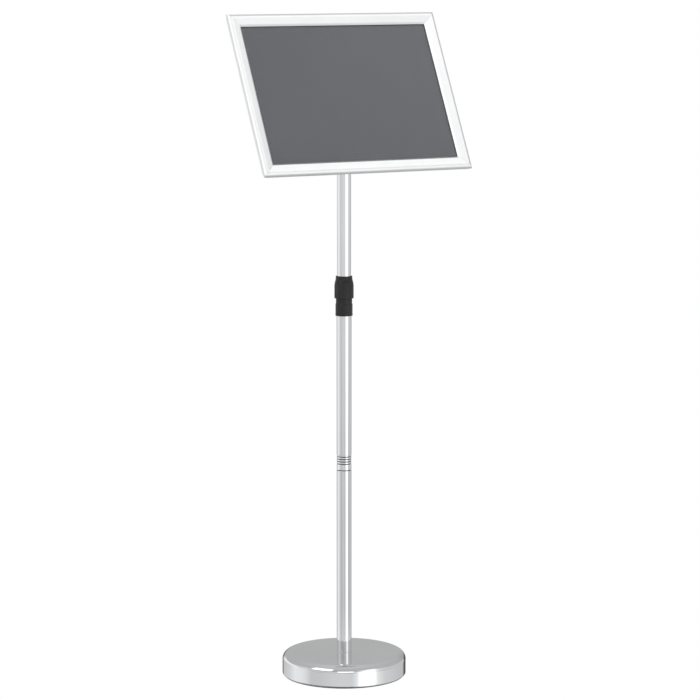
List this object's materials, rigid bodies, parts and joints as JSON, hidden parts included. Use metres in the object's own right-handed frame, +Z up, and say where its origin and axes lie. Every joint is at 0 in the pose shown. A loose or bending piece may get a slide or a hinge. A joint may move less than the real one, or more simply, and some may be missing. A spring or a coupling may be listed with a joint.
{
  "type": "sign stand",
  "caption": "Free-standing sign stand: weighted round base, telescopic pole with twist lock, tilting head and a snap frame that turns between landscape and portrait.",
  "frame": {"origin": "centre of the underside of the base, on the floor, below the pole's axis", "axes": "+Z up the pole, the sign faces -Y, +X along the sign's long side to the viewer's right"},
  "size_m": [0.453, 0.2414, 1.2851],
  "materials": {
    "pad": "closed-cell foam rubber",
    "black_plastic": "fine moulded texture",
    "grey_plastic": "moulded",
    "ballast": "cast cement",
    "polished_steel": "polished spun stainless steel",
    "tube_chrome": "polished tube",
    "zinc_steel": "zinc plated",
    "spring_steel": "tempered strip",
    "nylon": "natural nylon",
    "black_steel": "black powder coat",
    "brass": "turned",
    "rail_aluminium": "satin anodised",
    "panel": "grained sheet",
    "clear": "anti-glare clear plastic sheet"
  },
  "bodies": {
    "stand": {"floor_pad": "pad", "base_plate": "black_plastic", "base_weight": "ballast", "base_cover": "polished_steel", "base_washer": "zinc_steel", "base_bolt": "zinc_steel", "foot_plug": "zinc_steel", "lower_tube": "tube_chrome", "coupler_insert": "zinc_steel", "coupler_stud": "zinc_steel", "coupler_ring": "tube_chrome", "mid_plug": "zinc_steel", "mid_tube": "tube_chrome", "clamp_body": "black_plastic", "clamp_collet": "grey_plastic"},
    "lock_nut": {"clamp_nut": "black_plastic"},
    "slider": {"guide_bush": "grey_plastic"},
    "upper_pole": {"upper_tube": "tube_chrome", "tube_cap": "black_plastic", "cap_screw": "zinc_steel", "tilt_washers": "nylon"},
    "head": {"tilt_bracket": "black_steel", "tilt_bolt": "zinc_steel", "bracket_washer": "zinc_steel", "swivel_bolt": "zinc_steel", "swivel_nut": "zinc_steel", "swivel_washer": "nylon"},
    "knob": {"tilt_knob": "black_plastic", "knob_insert": "brass"},
    "sign": {"mount_plate": "black_steel", "plate_screws": "zinc_steel", "plate_nuts": "zinc_steel", "base_rail_top": "rail_aluminium", "base_rail_bottom": "rail_aluminium", "base_rail_left": "rail_aluminium", "base_rail_right": "rail_aluminium", "corner_keys": "zinc_steel", "snap_springs": "spring_steel", "back_panel": "panel", "clear_sheet": "clear", "backing_sheet": "panel"},
    "rail_top": {"snap_rail_top": "rail_aluminium"},
    "rail_bottom": {"snap_rail_bottom": "rail_aluminium"},
    "rail_left": {"snap_rail_left": "rail_aluminium"},
    "rail_right": {"snap_rail_right": "rail_aluminium"}
  },
  "joints": [
    {"name": "height_slide", "type": "slide", "parent": "stand", "child": "slider", "axis": [0, 0, 1], "range_m": [-0.175, 0.03]},
    {"name": "pole_turn", "type": "hinge", "parent": "slider", "child": "upper_pole", "pos_m": [0, 0, 0.8], "axis": [0, 0, 1], "range_deg": [-180, 180]},
    {"name": "lock_turn", "type": "hinge", "parent": "stand", "child": "lock_nut", "pos_m": [0, 0, 0.76], "axis": [0, 0, 1], "range_deg": [0, 120]},
    {"name": "sign_tilt", "type": "hinge", "parent": "upper_pole", "child": "head", "pos_m": [0, 0, 1.124], "axis": [-1, 0, 0], "range_deg": [-26.68, 63.32]},
    {"name": "knob_turn", "type": "hinge", "parent": "head", "child": "knob", "pos_m": [0.015, 0, 1.124], "axis": [1, 0, 0], "range_deg": [0, 360]},
    {"name": "sign_turn", "type": "hinge", "parent": "head", "child": "sign", "pos_m": [0, 0, 1.124], "axis": [0, -0.8935, 0.449], "range_deg": [0, 90]},
    {"name": "snap_top", "type": "hinge", "parent": "sign", "child": "rail_top", "pos_m": [0, 0.05058, 1.28078], "axis": [-1, 0, 0], "range_deg": [0, 90]},
    {"name": "snap_bottom", "type": "hinge", "parent": "sign", "child": "rail_bottom", "pos_m": [0, -0.09562, 0.98985], "axis": [1, 0, 0], "range_deg": [0, 90]},
    {"name": "snap_left", "type": "hinge", "parent": "sign", "child": "rail_left", "pos_m": [-0.2243, -0.02252, 1.13532], "axis": [0, -0.449, -0.8935], "range_deg": [0, 90]},
    {"name": "snap_right", "type": "hinge", "parent": "sign", "child": "rail_right", "pos_m": [0.2243, -0.02252, 1.13532], "axis": [0, 0.449, 0.8935], "range_deg": [0, 90]}
  ]
}
